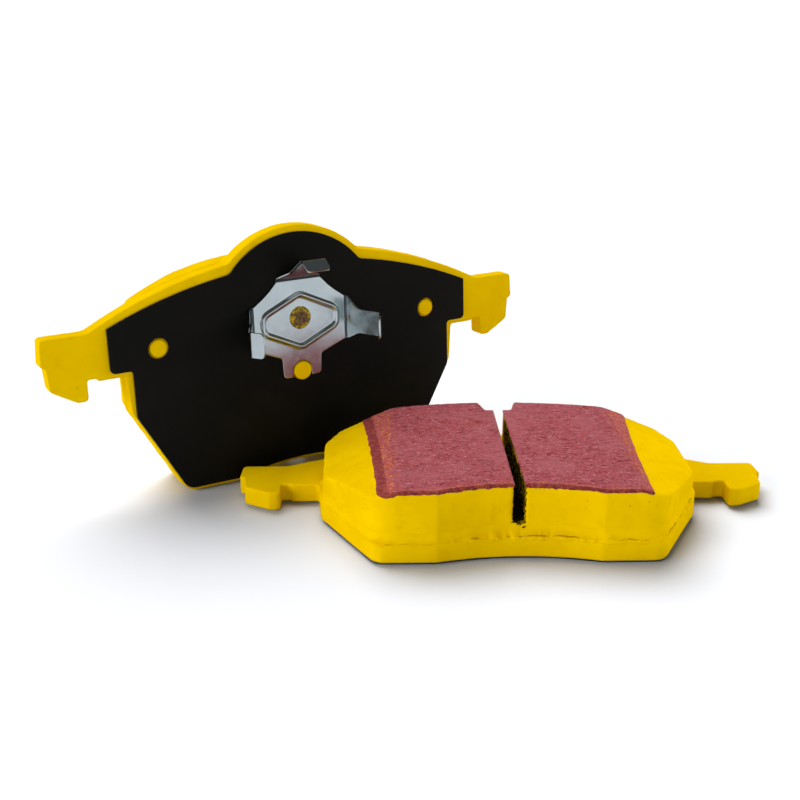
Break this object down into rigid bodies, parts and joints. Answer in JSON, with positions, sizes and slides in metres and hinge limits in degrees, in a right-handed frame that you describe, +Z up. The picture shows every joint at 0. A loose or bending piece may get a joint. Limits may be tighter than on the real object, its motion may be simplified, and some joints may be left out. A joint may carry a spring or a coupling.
{
  "type": "disc brake pad set",
  "caption": "Inboard and outboard disc brake pads for a floating caliper, with noise shims, hooked ears, and a sprung piston clip on the inboard pad.",
  "frame": {"origin": "middle of the pair's footprint, on the surface they rest on", "axes": "+Z up; +X along the lying outboard pad, to the right seen from its lower edge; +Y from the lying pad's lower edge to its crown, towards the standing pad"},
  "size_m": [0.211, 0.1093, 0.0768],
  "materials": {
    "yellow_powder_coat": "satin powder coat, slightly pitted",
    "painted_friction": "moulded friction compound under yellow powder coat",
    "painted_underlayer": "bonding layer under yellow powder coat",
    "red_bedding_coat": "matt, fibrous, streaked",
    "black_shim_rubber": "smooth satin black",
    "shim_steel": "cold rolled",
    "shim_adhesive": "matt",
    "zinc_plated_spring_steel": "bright zinc plate",
    "yellow_passivated_rivet": "yellow passivated, rough centre"
  },
  "bodies": {
    "outboard_pad": {"outboard_backing_plate": "yellow_powder_coat", "outboard_shim_rubber": "black_shim_rubber", "outboard_shim_core": "shim_steel", "outboard_shim_adhesive": "shim_adhesive", "outboard_underlayer": "painted_underlayer", "outboard_friction_block": "painted_friction", "outboard_bedding_coat_left": "red_bedding_coat", "outboard_bedding_coat_right": "red_bedding_coat"},
    "inboard_pad": {"inboard_backing_plate": "yellow_powder_coat", "inboard_shim_rubber": "black_shim_rubber", "inboard_shim_core": "shim_steel", "inboard_shim_adhesive": "shim_adhesive", "inboard_underlayer": "painted_underlayer", "inboard_friction_block": "painted_friction", "inboard_bedding_coat_left": "red_bedding_coat", "inboard_bedding_coat_right": "red_bedding_coat", "piston_clip_base": "zinc_plated_spring_steel", "piston_clip_rivet": "yellow_passivated_rivet"},
    "clip_finger_top": {"piston_clip_finger_top": "zinc_plated_spring_steel"},
    "clip_finger_left": {"piston_clip_finger_left": "zinc_plated_spring_steel"},
    "clip_finger_right": {"piston_clip_finger_right": "zinc_plated_spring_steel"}
  },
  "joints": [
    {"name": "inboard_pad_lift", "type": "slide", "parent": "outboard_pad", "child": "inboard_pad", "axis": [0, 0, 1], "range_m": [0, 0.12]},
    {"name": "clip_finger_left_flex", "type": "hinge", "parent": "inboard_pad", "child": "clip_finger_left", "pos_m": [-0.04585, 0.00446, 0.04591], "axis": [-0.0295, 0.0566, 0.998], "range_deg": [0, 6], "stiffness_Nm_per_rad": 2},
    {"name": "clip_finger_right_flex", "type": "hinge", "parent": "inboard_pad", "child": "clip_finger_right", "pos_m": [-0.01925, 0.01833, 0.04591], "axis": [0.0295, -0.0566, -0.998], "range_deg": [0, 6], "stiffness_Nm_per_rad": 2},
    {"name": "clip_finger_top_flex", "type": "hinge", "parent": "inboard_pad", "child": "clip_finger_top", "pos_m": [-0.03298, 0.01223, 0.06067], "axis": [0.8866, 0.4625, 0], "range_deg": [0, 6], "stiffness_Nm_per_rad": 2}
  ]
}
